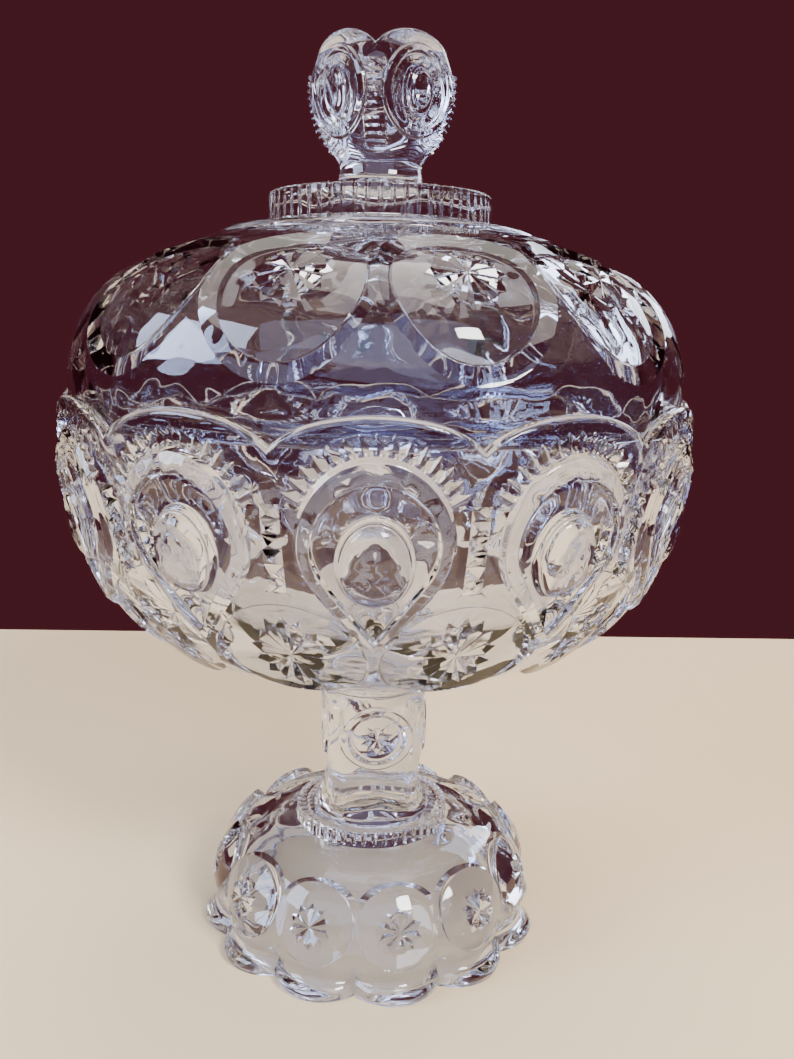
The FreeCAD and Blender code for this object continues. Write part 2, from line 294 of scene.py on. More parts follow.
class Sheet:
    """One sector of a patterned band, cut into triangles along the pattern's edges.

    Its plane has the true distance round the axis as x and the length along the
    profile as y.
    """

    def __init__(self, profile, high, half, spacing):
        self.profile = profile
        self.high, self.half = high, half
        self.spacing = spacing
        self.spots = []
        self.links = []
        rows = int(self.top(0.0) / (SIDE_STEP * spacing))
        for side in (-half, 0.0, half):
            self.line(np.full(rows, side), np.linspace(0, float(self.top(side)), rows), margin=0)
        angles = np.linspace(-half, half, round(COLUMNS * half / math.pi) + 1)
        self.line(angles, np.zeros(len(angles)), margin=0)
        self.line(angles, self.top(angles), margin=0)

    def top(self, angle):
        """The upper end of the band at an angle."""
        if callable(self.high):
            return self.high(np.asarray(angle, float))
        return np.full(np.shape(angle), float(self.high))

    def line(self, angles, lengths, closed=False, margin=0.2):
        """Add a chain of points, leaving out what lies beyond the sector or near its ends."""
        angles, lengths = np.asarray(angles, float), np.asarray(lengths, float)
        for side in (-self.half, 0.0, self.half):
            beside = np.abs(angles - side) * self.profile.radius(lengths) < SNAP
            angles = np.where(beside, side, angles)
        inside = np.abs(angles) <= self.half + ROUNDING
        inside &= lengths >= margin - ROUNDING
        inside &= lengths <= self.top(angles) - margin + ROUNDING
        numbers = {}
        for index in np.flatnonzero(inside):
            numbers[index] = len(self.spots)
            angle = float(np.clip(angles[index], -self.half, self.half))
            x = angle * float(self.profile.radius(lengths[index]))
            self.spots.append((x, float(lengths[index])))
        count = len(angles)
        for index in range(count if closed else count - 1):
            following = (index + 1) % count
            if index in numbers and following in numbers:
                self.links.append((numbers[index], numbers[following]))

    def faces(self, repeats):
        """Cut the sector's right half into triangles, mirror it and repeat it round the axis."""
        fixed = np.array(self.spots)
        wide = np.abs(fixed[:, 0]).max()
        step = self.spacing
        rows = np.arange(step / 2, fixed[:, 1].max(), step * math.sqrt(3) / 2)
        filled = []
        for number, y in enumerate(rows):
            xs = np.arange(-wide + (number % 2) * step / 2, wide, step)
            filled.append(np.stack([xs, np.full(len(xs), y)], 1))
        filled = np.concatenate(filled)
        radius = self.profile.radius(filled[:, 1])
        angle = filled[:, 0] / radius
        keep = np.abs(angle) < self.half - EDGE_GAP * step / radius
        keep &= filled[:, 1] < self.top(angle) - EDGE_GAP * step
        filled = filled[keep]
        gap = np.min(np.hypot(filled[:, None, 0] - fixed[None, :, 0],
                              filled[:, None, 1] - fixed[None, :, 1]), axis=1)
        filled = filled[gap > POINT_GAP * step]
        spots = [Vector(p) for p in fixed.tolist()] + [Vector(p) for p in filled.tolist()]
        cut = delaunay_2d_cdt(spots, self.links, [], INSIDE_LINES, NEAREST)
        places = np.array([(p.x, p.y) for p in cut[0]])
        triangles = np.array([face for face in cut[2] if len(face) == 3])
        flat = places[triangles]
        flat[..., 0] /= self.profile.radius(flat[..., 1])
        turn = flat[..., 0]
        turn[np.abs(turn) < SEAM] = 0.0
        turn[np.abs(turn - self.half) < SEAM] = self.half
        right = (turn.mean(axis=1) > 0) & (turn.min(axis=1) < self.half)
        flat = flat[right]
        return repeated(np.concatenate([flat, flat * (-1, 1)]), repeats)


class Spot:
    """A local plane round one place of a band: x round the axis, y along the profile."""

    def __init__(self, profile, angle, length):
        self.profile = profile
        self.angle = angle
        self.length = length

    def local(self, angle, length):
        x = (angle - self.angle) * self.profile.radius(length)
        return x, length - self.length

    def polar(self, angle, length):
        """Turn from straight up, and distance from the centre."""
        x, y = self.local(angle, length)
        return np.arctan2(x, y), np.hypot(x, y)

    def draw(self, sheet, x, y, closed=False):
        lengths = self.length + np.asarray(y, float)
        angles = self.angle + np.asarray(x, float) / self.profile.radius(lengths)
        sheet.line(angles, lengths, closed)

    def draw_rings(self, sheet, outline, count, insets):
        """Closed lines at distances inside an outline, each with 'count' points."""
        turns = np.linspace(-math.pi, math.pi, count, endpoint=False)
        for inset in insets:
            reach = outline(turns) - inset
            self.draw(sheet, reach * np.sin(turns), reach * np.cos(turns), closed=True)


def oval(across, along):
    """The outline of an ellipse as a distance from its centre at each turn."""
    def outline(turn):
        return 1 / np.hypot(np.sin(turn) / across, np.cos(turn) / along)
    return outline


class Star:
    """Rays pressed into the glass as grooves that widen from the centre and close in tips."""

    def __init__(self, rays, tip, valley, slope, stretch=1.0, lift=0.0):
        self.rays = rays
        self.tip = tip
        self.half = math.pi / rays
        self.bend = valley * math.cos(self.half)
        self.wide = valley * math.sin(self.half)
        self.valley = valley
        self.slope = slope
        self.stretch = stretch
        self.lift = lift

    def height(self, x, y):
        """Depth of the grooves, below zero, at a place of the star's spot."""
        y = (y - self.lift) / self.stretch
        turn, reach = np.arctan2(x, y), np.hypot(x, y)
        off = np.abs((turn + self.half) % (2 * self.half) - self.half)
        along, aside = reach * np.cos(off), reach * np.sin(off)
        closing = self.wide * (self.tip - along) / (self.tip - self.bend)
        width = np.where(along < self.bend, along * math.tan(self.half), closing)
        return -self.slope * np.maximum(0.0, width - aside)

    def draw(self, sheet, spot):
        outline = []
        for ray in range(self.rays):
            turn = 2 * self.half * ray
            spokes = ((turn, self.tip, 6), (turn + self.half, self.valley, 5))
            for angle, reach, bits in spokes:
                x, y = reach * math.sin(angle), reach * math.cos(angle) * self.stretch
                share = np.linspace(0, 1, bits)
                spot.draw(sheet, x * share, self.lift + y * share)
                outline.append((x, self.lift + y))
        corners = np.array(outline + outline[:1])
        for start, end in zip(corners, corners[1:]):
            side = np.linspace(start, end, 4)
            spot.draw(sheet, side[:, 0], side[:, 1])


# ---- bowl

SECTORS = 12
HALF_SECTOR = math.pi / SECTORS
JOINT_RADIUS = 17.8
BOWL_BASE = 89.5
LEDGE = 180.2
LEDGE_TOP = LEDGE + 1.0
RIM_ROUND = 2.0
RIM_INNER = 98.2
ARCH_TOP = 189.5
ARCH_LOW = 181.3
ARCH_SHARE = 0.9             # how much of a quarter of an ellipse half an arch shows

BOWL_PROFILE = Profile([
    (JOINT_RADIUS, BOWL_BASE), (30, 94.3), (45, 99.8), (60, 105.8), (70, 110.3),
    (79, 115.6), (86, 122.6), (90.8, 130.3), (94.0, 138), (97.9, 150.5), (100.6, 163),
    (101.9, 175), (102.3, 190)])
BOWL_INSIDE = Profile([
    (RIM_INNER, LEDGE_TOP), (97.8, LEDGE - 1.5), (97.0, LEDGE - 6), (95.6, 168.5),
    (93.8, 161), (91.2, 152), (85.6, 139), (77.6, 129.0), (67.8, 121.0), (56.0, 114.0),
    (40, 106.6), (20, 99.6), (8, 97.2), (0, 96.8)], 700)


def arch_height(angle):
    """Height of the rim at an angle: an arch over each panel and a notch between."""
    off = np.abs(local_turn(angle, HALF_SECTOR)) / HALF_SECTOR
    crown = np.sqrt(np.maximum(0.0, 1 - (ARCH_SHARE * off) ** 2))
    foot = math.sqrt(1 - ARCH_SHARE ** 2)
    return ARCH_LOW + (ARCH_TOP - ARCH_LOW) * (crown - foot) / (1 - foot)


def bowl_top(angle):
    """Length along the bowl's profile where the rounded rim begins."""
    wanted = arch_height(angle) - RIM_ROUND
    return np.interp(wanted, BOWL_PROFILE.spots[:, 1], BOWL_PROFILE.at)


PANEL = Spot(BOWL_PROFILE, 0.0, BOWL_PROFILE.at_height(157.5))
BUTTON_DROP = -5.0
FRAME_SIDE, FRAME_TOP, FRAME_TIP = 19.4, 21.6, 31.8
FRAME_LEAD = 1.0             # the frame's slope starts this far outside its outline
DISH_SIDE, DISH_TIP = 16.2, 28.6
DISH_EDGE, DISH_STEP, DISH_SINK = 1.9, 2.0, 1.6
DISH_WALL, DISH_SLOPE = 0.8, 9.0   # how far in the step and the sink are complete
TEETH = 42                   # teeth in a whole turn round the panel
TEETH_REACH = 130 * DEGREE / 2
TEETH_FADE = 8 * DEGREE
TEETH_INNER, TEETH_OUTER, TEETH_WAVE = 1.0, 6.8, 1.9
TEETH_RISE, TEETH_DEPTH = 0.5, 1.9
TEETH_FOOT, TEETH_END = 1.2, 1.1   # lengths of their inner and outer slopes
LADDER_HALF, LADDER_RISE, LADDER_SUNK = 2.6, 2.6, 0.8
LADDER_LOW, LADDER_HIGH = BOWL_PROFILE.at_height(143.5), BOWL_PROFILE.at_height(167.5)
LADDER_STEPS = 6
MOON_LOW, MOON_HIGH = BOWL_PROFILE.at_height(110.6), BOWL_PROFILE.at_height(140.2)
MOON_LENGTH = (MOON_LOW + MOON_HIGH) / 2
MOON_ACROSS, MOON_ALONG = 20.3, (MOON_HIGH - MOON_LOW) / 2
MOON_CENTRE = (82.9, 124.8)  # radius and height of the middle of the flat moon
MOON_TILT = 37 * DEGREE
MOON_CROWN = 1.7             # how far the moon's middle stands out of its edge's plane
MOON_STEP, MOON_WALL = 2.2, 2.6    # slopes of its edge where it stands out and is sunk
MOON_BEYOND = 8.0            # how far outside its outline that edge is felt
MOON_FACING = 0.2
MOON_STAR = Star(14, 11.4, 8.8, 0.6, 1.45)


def teardrop(side, top, tip):
    """An oval arch above and a pointed drop below, as a distance at each turn."""
    point = math.asin(side / tip)

    def outline(turn):
        turn = np.abs(turn)
        arch = 1 / np.hypot(np.sin(turn) / side, np.cos(turn) / top)
        below = math.pi - turn
        straight = tip * math.sin(point) / np.sin(point + np.maximum(below, 0))
        lower = np.where(below < math.pi / 2 - point, straight, side)
        return np.where(turn < math.pi / 2, arch, lower)
    return outline


FRAME = teardrop(FRAME_SIDE, FRAME_TOP, FRAME_TIP)
DISH = teardrop(DISH_SIDE, DISH_SIDE, DISH_TIP)
BUTTON = oval(9.8, 12.4)
BOWL_MOON = oval(MOON_ACROSS, MOON_ALONG)
BUTTON_SPOT = Spot(BOWL_PROFILE, 0.0, PANEL.length + BUTTON_DROP)
MOON_SPOTS = [Spot(BOWL_PROFILE, turn, MOON_LENGTH) for turn in (-HALF_SECTOR, HALF_SECTOR)]
FRAME_EDGE, FRAME_BAND, FRAME_FOOT, FRAME_CREST = 0.2, 4.6, 0.9, 2.5
PATTERN_START, PATTERN_FADE = 4.0, 6.0
OWN_POINTS = 0.001           # points drawn on an outline belong to the ground outside it
BUTTON_KNOTS = [(-0.5, 0.0), (0.9, 2.6), (2.6, 4.2), (5.5, 5.2), (9.8, 5.6)]


def teeth_height(turn, reach):
    """Pointed teeth pressed round the arch outside its frame."""
    beyond = reach - FRAME(turn)
    phase = turn * TEETH / FULL
    saw = np.abs(phase - np.round(phase)) * 2
    edge = TEETH_OUTER - TEETH_WAVE * saw
    rise = np.clip((beyond - TEETH_INNER) / TEETH_FOOT, 0, 1)
    rise = rise * np.clip((edge - beyond) / TEETH_END, 0, 1)
    fade = smooth((TEETH_REACH - np.abs(turn)) / TEETH_FADE)
    return fade * rise * (TEETH_RISE - TEETH_DEPTH * saw)


def ladder_height(angle, length):
    """A column of four-sided points between two panels, on a slightly sunk ground."""
    edge = (HALF_SECTOR - np.abs(angle)) * BOWL_PROFILE.radius(length)
    step = (length - LADDER_LOW) / (LADDER_HIGH - LADDER_LOW) * LADDER_STEPS
    inside = (step > 0) & (step < LADDER_STEPS)
    off = np.abs(step % 1 - 0.5) * 2
    rise = 1 - np.maximum(edge / LADDER_HALF, off)
    return np.where(inside, LADDER_RISE * np.maximum(rise, 0) - LADDER_SUNK, 0.0)


def moon_plane(angle, length):
    """Height over the profile of a moon's own flat, slightly crowned face."""
    radius, height, out_r, out_z = BOWL_PROFILE.place(length)
    lean_r, lean_z = math.cos(MOON_TILT), -math.sin(MOON_TILT)
    gap_r = (MOON_CENTRE[0] - radius * np.cos(angle)) * lean_r
    gap_z = (MOON_CENTRE[1] - height) * lean_z
    facing = out_r * np.cos(angle) * lean_r + out_z * lean_z
    return (gap_r + gap_z) / np.maximum(facing, MOON_FACING)


def bowl_height(angle, length):
    """Height of the bowl's pattern over its profile, for angles of any sector."""
    angle = local_turn(angle, HALF_SECTOR)
    turn, reach = PANEL.polar(angle, length)
    height = ladder_height(angle, length) + teeth_height(turn, reach)
    inset = FRAME(turn) - reach
    frame_at = (-FRAME_LEAD, FRAME_EDGE, FRAME_BAND)
    panel = np.interp(inset, frame_at, (0.0, FRAME_FOOT, FRAME_CREST))
    height = np.where(inset > OWN_POINTS - FRAME_LEAD, panel, height)
    floor = DISH(turn) - reach
    dish = DISH_EDGE - DISH_STEP * smooth(floor / DISH_WALL)
    dish = dish - DISH_SINK * smooth(floor / DISH_SLOPE)
    height = np.where(floor > 0, dish, height)
    button_turn, button_reach = BUTTON_SPOT.polar(angle, length)
    height = height + steps(BUTTON(button_turn) - button_reach, BUTTON_KNOTS)
    for spot in MOON_SPOTS:
        moon_turn, moon_reach = spot.polar(angle, length)
        inner = BOWL_MOON(moon_turn) - moon_reach
        share = np.clip(moon_reach / BOWL_MOON(moon_turn), 0, 1)
        plane = moon_plane(angle - spot.angle, length)
        beyond = np.maximum(-inner, 0)
        bevel = np.clip(height, plane - MOON_STEP * beyond, plane + MOON_WALL * beyond)
        face = plane + MOON_CROWN * (1 - share ** 2)
        height = np.where(beyond < MOON_BEYOND, bevel, height)
        star = MOON_STAR.height(*spot.local(angle, length))
        height = np.where(inner > 0, face + star, height)
    return height


def bowl_place(angle, length):
    rise = bowl_height(angle, length) * smooth((length - PATTERN_START) / PATTERN_FADE)
    return relief(BOWL_PROFILE, angle, length, rise)


def rim_place(angle, share):
    """The rounded rim: share 0 is its outer edge and share 1 its inner edge."""
    start = bowl_place(angle, bowl_top(angle))
    outer = np.hypot(start[..., 0], start[..., 1])
    level = arch_height(angle) - RIM_ROUND
    return half_round(angle, share, outer, RIM_INNER, level, RIM_ROUND)


def rim_inside_place(angle, share):
    """The wall between the rim and the height of the cover's seat."""
    top = arch_height(angle) - RIM_ROUND
    return around(angle, np.full(np.shape(angle), RIM_INNER),
                  top + (LEDGE_TOP - top) * share)


def turned_place(profile):
    def place(angle, length):
        radius, height, _, _ = profile.place(length)
        return around(angle, radius, height)
    return place


def flat_place(height):
    """A level surface; its length is the radius."""
    def place(angle, length):
        return around(angle, length, np.full(np.shape(angle), height))
    return place


def bowl_sheet():
    sheet = Sheet(BOWL_PROFILE, bowl_top, HALF_SECTOR, 2.3)
    PANEL.draw_rings(sheet, FRAME, 120, (-FRAME_LEAD, -0.5, 0.0, 0.5, 1.0, 1.6, 2.4))
    PANEL.draw_rings(sheet, DISH, 96, (0.0, 0.25, 0.5, 0.9, 1.8, 3.4, 5.4))
    BUTTON_SPOT.draw_rings(sheet, BUTTON, 66, (-0.5, -0.1, 0.3, 0.6, 0.9, 1.6, 2.3, 3.8))
    for spot in MOON_SPOTS:
        spot.draw_rings(sheet, BOWL_MOON, 96, (-3.0, -1.6, -0.6, 0.0, 1.8))
        MOON_STAR.draw(sheet, spot)
    draw_teeth(sheet)
    draw_ladder(sheet)
    return sheet


def draw_teeth(sheet):
    count = int(TEETH_REACH / (FULL / TEETH / 2))
    halves = np.arange(-count, count + 1)
    turns = halves * FULL / TEETH / 2
    edge = np.where(halves % 2 == 0, TEETH_OUTER, TEETH_OUTER - TEETH_WAVE)
    for beyond in (edge, edge - TEETH_END, TEETH_INNER, TEETH_INNER + TEETH_FOOT):
        reach = FRAME(turns) + beyond
        PANEL.draw(sheet, reach * np.sin(turns), reach * np.cos(turns))
    for turn, top in zip(turns, edge):
        reach = float(FRAME(turn)) + np.linspace(TEETH_INNER, top, 5)
        PANEL.draw(sheet, reach * math.sin(turn), reach * math.cos(turn))


def draw_ladder(sheet):
    levels = np.linspace(LADDER_LOW, LADDER_HIGH, LADDER_STEPS + 1)
    for side in (-1, 1):
        for first, last in zip(levels, levels[1:]):
            middle = (first + last) / 2
            for end in (first, last):
                lengths = np.linspace(middle, end, 4)
                reach = LADDER_HALF * np.linspace(0, 1, 4)
                angles = side * (HALF_SECTOR - reach / BOWL_PROFILE.radius(lengths))
                sheet.line(angles, lengths)
        lengths = np.linspace(LADDER_LOW, LADDER_HIGH, 4 * LADDER_STEPS + 1)
        edge = side * (HALF_SECTOR - LADDER_HALF / BOWL_PROFILE.radius(lengths))
        sheet.line(edge, lengths)
        for level in levels:
            reach = np.linspace(0, LADDER_HALF, 4)
            angles = side * (HALF_SECTOR - reach / float(BOWL_PROFILE.radius(level)))
            sheet.line(angles, np.full(4, level))

SEAT_ROWS = np.linspace(0, 8, 17)   # closer rows near the cover's seat


def make_bowl():
    skin = Skin()
    skin.add(bowl_place, bowl_sheet().faces(SECTORS))
    angles = ring_angles(-HALF_SECTOR)
    skin.add(rim_place, grid(angles, shares(8)))
    skin.add(rim_inside_place, grid(angles, shares(4)))
    below = np.linspace(SEAT_ROWS[-1], BOWL_INSIDE.length, 60)
    rows = np.concatenate([SEAT_ROWS, below[1:]])
    skin.add(turned_place(BOWL_INSIDE), grid(angles, rows))
    skin.fuse(angles, BOWL_BASE, JOINT_RADIUS, FACE_DOWN)
    return skin.mesh("bowl_glass")


# ---- cover

COVER_BASE, COVER_EDGE = 180.5, 182.0   # the rounded edge's lowest and highest points
COVER_OUTER_WALL, COVER_INNER_WALL = 97.6, 92.6
COVER_JOINT = 251.3
COVER_JOINT_RADIUS = 19.6
COVER_PROFILE = Profile([
    (COVER_OUTER_WALL, COVER_EDGE), (COVER_OUTER_WALL, 189), (COVER_OUTER_WALL, 196),
    (97.2, 201), (95.9, 206.5), (93.6, 211.5), (90.3, 216.3), (85.8, 221.3),
    (80.3, 225.7), (72.5, 229.7), (62, 233.7), (53.5, 236.8), (50.9, 237.6)])
COVER_INSIDE = Profile([
    (COVER_INNER_WALL, COVER_EDGE), (COVER_INNER_WALL, 189), (COVER_INNER_WALL, 196),
    (92.1, 200.5), (90.4, 206), (87, 212.2), (82, 217.9), (75.4, 223.3), (66, 227.4),
    (48, 233), (30, 236.4), (12, 238.6), (0, 239.2)], 600)
COVER_STEP = Profile([
    (50.9, 237.6), (50.6, 238.6), (50.0, 239.4), (48.6, 240.0), (46.0, 240.5),
    (42, 241.1), (38, 241.9), (36.2, 242.4)])
DISC_LOW, DISC_HIGH = 242.4, COVER_JOINT
DISC_RADIUS, DISC_RIBS, DISC_GROOVE = 35.8, 60, 1.1
DISC_PILLAR = 0.55
DISC_BEND, DISC_ROUND = 0.93, 0.5  # where its upper edge starts to bend in, and how far
COVER_SPOT = Spot(COVER_PROFILE, 0.0, COVER_PROFILE.at_radius(86.6))
COVER_OVAL = oval(23.4, 27.6)
COVER_INNER = oval(19.6, 22.6)
COVER_RAISED = 0.9           # the ground between the scoops over the profile
COVER_SCOOP, COVER_FACE = -1.1, -0.7
COVER_CROWN = 1.5
COVER_LIP = 0.5
COVER_FADE_LOW, COVER_FADE_HIGH = 6.0, 4.0
COVER_STAR = Star(12, 10.6, 8.8, 0.4, 1.15, 3.6)


def cover_height(angle, length):
    """Height of the cover's pattern: oval scoops, each with a crowned face and a star."""
    moon = angle % (2 * HALF_SECTOR) - HALF_SECTOR
    turn, reach = COVER_SPOT.polar(moon, length)
    inset = COVER_OVAL(turn) - reach
    inner = COVER_INNER(turn) - reach
    share = np.clip(reach / COVER_INNER(turn), 0, 1)
    down = inset / np.maximum(inset - inner, 1.0)
    scoop = COVER_RAISED + (COVER_SCOOP - COVER_RAISED) * down
    face = COVER_FACE + COVER_CROWN * (1 - share ** 2)
    ground = COVER_RAISED * smooth(length / COVER_FADE_LOW)
    ground = ground * smooth((COVER_PROFILE.length - length) / COVER_FADE_HIGH)
    height = np.where(inset > 0, scoop, ground)
    height = np.where(inner > 0, scoop + (face - scoop) * smooth(inner / COVER_LIP), height)
    return height + COVER_STAR.height(*COVER_SPOT.local(moon, length))


def cover_place(angle, length):
    return relief(COVER_PROFILE, angle, length, cover_height(angle, length))


def cover_sheet():
    sheet = Sheet(COVER_PROFILE, COVER_PROFILE.length, HALF_SECTOR, 2.3)
    COVER_SPOT.draw_rings(sheet, COVER_OVAL, 120, (-1.2, 0.0, 1.2, 2.6))
    COVER_SPOT.draw_rings(sheet, COVER_INNER, 110, (0.0, 0.5 * COVER_LIP, COVER_LIP, 1.2, 2.5))
    COVER_STAR.draw(sheet, COVER_SPOT)
    return sheet


def cover_rim_place(angle, share):
    """The rounded lower edge of the cover, from its outside to its inside."""
    drop = COVER_BASE - COVER_EDGE
    return half_round(angle, share, COVER_OUTER_WALL, COVER_INNER_WALL, COVER_EDGE, drop)


def rib_radius(angle):
    return ribbed(angle, DISC_RADIUS, DISC_RIBS, DISC_GROOVE, DISC_PILLAR)


def rib_place(angle, share):
    top = smooth((share - DISC_BEND) / (1 - DISC_BEND))
    radius = rib_radius(angle) - DISC_ROUND * top * top
    return around(angle, radius, DISC_LOW + (DISC_HIGH - DISC_LOW) * share)


def rib_seat_place(angle, share):
    """The ring between the step and the foot of the ribs."""
    return level_ring(angle, share, COVER_STEP.spots[-1, 0], rib_radius(angle), DISC_LOW)


def disc_top_place(angle, share):
    """The disc's level top, from the ribs in to the finial."""
    outer = rib_radius(angle) - DISC_ROUND
    return level_ring(angle, share, outer, COVER_JOINT_RADIUS, COVER_JOINT)


def make_cover():
    skin = Skin()
    skin.add(cover_place, shifted(cover_sheet().faces(SECTORS), HALF_SECTOR))
    angles = ring_angles()
    skin.add(cover_rim_place, grid(angles, shares(8)), FACE_INWARD)
    skin.add(turned_place(COVER_STEP), grid(angles, np.linspace(0, COVER_STEP.length, 16)))
    skin.add(rib_seat_place, grid(angles, shares(1)))
    skin.add(rib_place, grid(angles, [0, 0.3, 0.6, DISC_BEND, (1 + DISC_BEND) / 2, 1.0]))
    skin.add(disc_top_place, grid(angles, [0, 0.1, 0.5, 1.0]))
    skin.fuse(angles, COVER_JOINT, COVER_JOINT_RADIUS, FACE_UP)
    rows = np.linspace(0, COVER_INSIDE.length, 70)
    skin.add(turned_place(COVER_INSIDE), grid(angles, rows), FACE_INWARD)
    return skin.mesh("cover_glass")


# ---- foot

FOOT_TOP = 42.0
STEM_BASE_RADIUS = 20.8
COLLAR_RADIUS, COLLAR_RIBS, COLLAR_GROOVE = 27.0, 48, 0.9
COLLAR_PILLAR = 0.4
COLLAR_RISE, COLLAR_BEND, COLLAR_ROUND = 0.25, 0.9, 0.4
COLLAR_DIP = 0.5
REST_ROUND = 0.8             # height of the rounded edge that the foot stands on
REST_FLATNESS = 2.2
FOOT_PROFILE = Profile([
    (59.6, REST_ROUND), (60.4, 2.4), (59.7, 4.2), (57.6, 5.8), (56.3, 8.2), (55.8, 12.0),
    (54.9, 17.0), (52.8, 22.5), (49.2, 28.4), (45.6, 32.9), (41.5, 35.3), (36.0, 36.2),
    (30.0, 36.6), (COLLAR_RADIUS, 36.8)])
FOOT_STEP, FOOT_CROWN = 1.5, 2.0
FOOT_WALL = 0.5
FOOT_DITCH, DITCH_WIDE = 1.6, 2.0   # a ditch round the upper half of each moon
FOOT_LEAN = 0.16            # how much more the moons stand out towards their tops
FOOT_INSIDE = Profile([
    (53.2, REST_ROUND), (52.6, 4.0), (51.0, 12.0), (46.6, 20.5), (41.0, 27.2), (34.0, 30.2),
    (22.0, 31.2), (10.0, 31.6), (0.0, 31.7)], 500)
SCALLOP_DEEP, HOLLOW_DEEP = 6.2, 4.2
SCALLOP_TOP, SCALLOP_FADE, HOLLOW_FADE = 14.0, 10.0, 12.0
FOOT_ENDS = 3.0              # the pattern fades out over this length at both ends
FOOT_FIRST = 10 * DEGREE
FOOT_SPOT = Spot(FOOT_PROFILE, 0.0, FOOT_PROFILE.at_height(22.4))
FOOT_OVAL = oval(12.9, 12.6)
FOOT_STAR = Star(10, 6.8, 5.2, 1.3)


def scallop(angle, height):
    """How far the scalloped edge draws in, most between two moons."""
    off = np.abs(local_turn(angle, HALF_SECTOR)) / HALF_SECTOR
    return SCALLOP_DEEP * off ** 2 * smooth((SCALLOP_TOP - height) / SCALLOP_FADE)


def hollow_inward(angle):
    """The same for the hollow's lower edge, which follows the scallops less deeply."""
    return HOLLOW_DEEP * scallop(angle, REST_ROUND) / SCALLOP_DEEP


def foot_height(angle, length):
    """Height of the foot's pattern: a raised round moon with a star in each scallop."""
    moon = local_turn(angle, HALF_SECTOR)
    turn, reach = FOOT_SPOT.polar(moon, length)
    inset = FOOT_OVAL(turn) - reach
    share = np.clip(reach / FOOT_OVAL(turn), 0, 1)
    x, y = FOOT_SPOT.local(moon, length)
    stands = FOOT_STEP + FOOT_LEAN * y
    raised = smooth((inset + FOOT_WALL) / FOOT_WALL)
    ditch = FOOT_DITCH * np.clip(1 + (inset + FOOT_WALL) / DITCH_WIDE, 0, 1) * (1 - raised)
    lens = stands * raised - ditch * np.maximum(np.cos(turn), 0) + FOOT_CROWN * (1 - share ** 2)
    return lens + FOOT_STAR.height(x, y)


def foot_place(angle, length):
    radius, height, out_r, out_z = FOOT_PROFILE.place(length)
    ends = smooth(length / FOOT_ENDS) * smooth((FOOT_PROFILE.length - length) / FOOT_ENDS)
    rise = foot_height(angle, length) * ends
    inward = scallop(angle, height)
    return around(angle, radius + rise * out_r - inward, height + rise * out_z)


def foot_edge_place(angle, share):
    """The rounded rest under the foot, from the scallops in to the hollow."""
    outer = FOOT_PROFILE.spots[0, 0] - scallop(angle, REST_ROUND)
    inner = FOOT_INSIDE.spots[0, 0] - hollow_inward(angle)
    swing = np.pi * share
    middle, half = (outer + inner) / 2, (outer - inner) / 2
    flat = np.minimum(np.sin(swing) * REST_FLATNESS, 1.0)
    return around(angle, middle + half * np.cos(swing), REST_ROUND - REST_ROUND * flat)


def foot_inside_place(angle, length):
    radius, height, _, _ = FOOT_INSIDE.place(length)
    inward = hollow_inward(angle) * smooth((SCALLOP_TOP - height) / HOLLOW_FADE)
    return around(angle, radius - inward, height)


def collar_radius(angle):
    return ribbed(angle, COLLAR_RADIUS, COLLAR_RIBS, COLLAR_GROOVE, COLLAR_PILLAR)


def collar_place(angle, share):
    low = FOOT_PROFILE.spots[-1, 1]
    top = smooth((share - COLLAR_BEND) / (1 - COLLAR_BEND))
    fade = smooth(share / COLLAR_RISE)
    radius = COLLAR_RADIUS + (collar_radius(angle) - COLLAR_RADIUS) * fade
    radius = radius - COLLAR_ROUND * top * top
    return around(angle, radius, low + (FOOT_TOP - low) * share)


def collar_top_place(angle, share):
    outer = collar_radius(angle) - COLLAR_ROUND
    radius = outer + (STEM_BASE_RADIUS - outer) * share
    dip = COLLAR_DIP * np.sin(np.pi * share)
    return around(angle, radius, FOOT_TOP - dip)


def make_foot():
    skin = Skin()
    sheet = Sheet(FOOT_PROFILE, FOOT_PROFILE.length, HALF_SECTOR, 1.7)
    insets = (-FOOT_WALL - DITCH_WIDE, -1.5, -FOOT_WALL, -FOOT_WALL / 2, 0.0, 1.2, 2.8)
    FOOT_SPOT.draw_rings(sheet, FOOT_OVAL, 96, insets)
    FOOT_STAR.draw(sheet, FOOT_SPOT)
    skin.add(turned(foot_place), shifted(sheet.faces(SECTORS), FOOT_FIRST))
    angles = ring_angles(FOOT_FIRST - HALF_SECTOR)
    skin.add(turned(foot_edge_place), grid(angles, shares(12)), FACE_INWARD)
    rows = np.linspace(0, FOOT_INSIDE.length, 44)
    skin.add(turned(foot_inside_place), grid(angles, rows), FACE_INWARD)
    rows = [0, 0.12, COLLAR_RISE, 0.5, COLLAR_BEND, (1 + COLLAR_BEND) / 2, 1.0]
    skin.add(turned(collar_place), grid(angles, rows))
    skin.add(turned(collar_top_place), grid(angles, shares(6)))
    skin.fuse(angles, FOOT_TOP, STEM_BASE_RADIUS, FACE_UP)
    return skin.mesh("foot_glass")


def turned(place):
    """The same surface with the foot's first moon turned to its own angle."""
    def placed(angle, length):
        spots = place(angle - FOOT_FIRST, length)
        flat_x = spots[..., 0] * math.cos(FOOT_FIRST) - spots[..., 1] * math.sin(FOOT_FIRST)
        flat_y = spots[..., 0] * math.sin(FOOT_FIRST) + spots[..., 1] * math.cos(FOOT_FIRST)
        return np.stack([flat_x, flat_y, spots[..., 2]], -1)
    return placed


# ---- stem and wafer

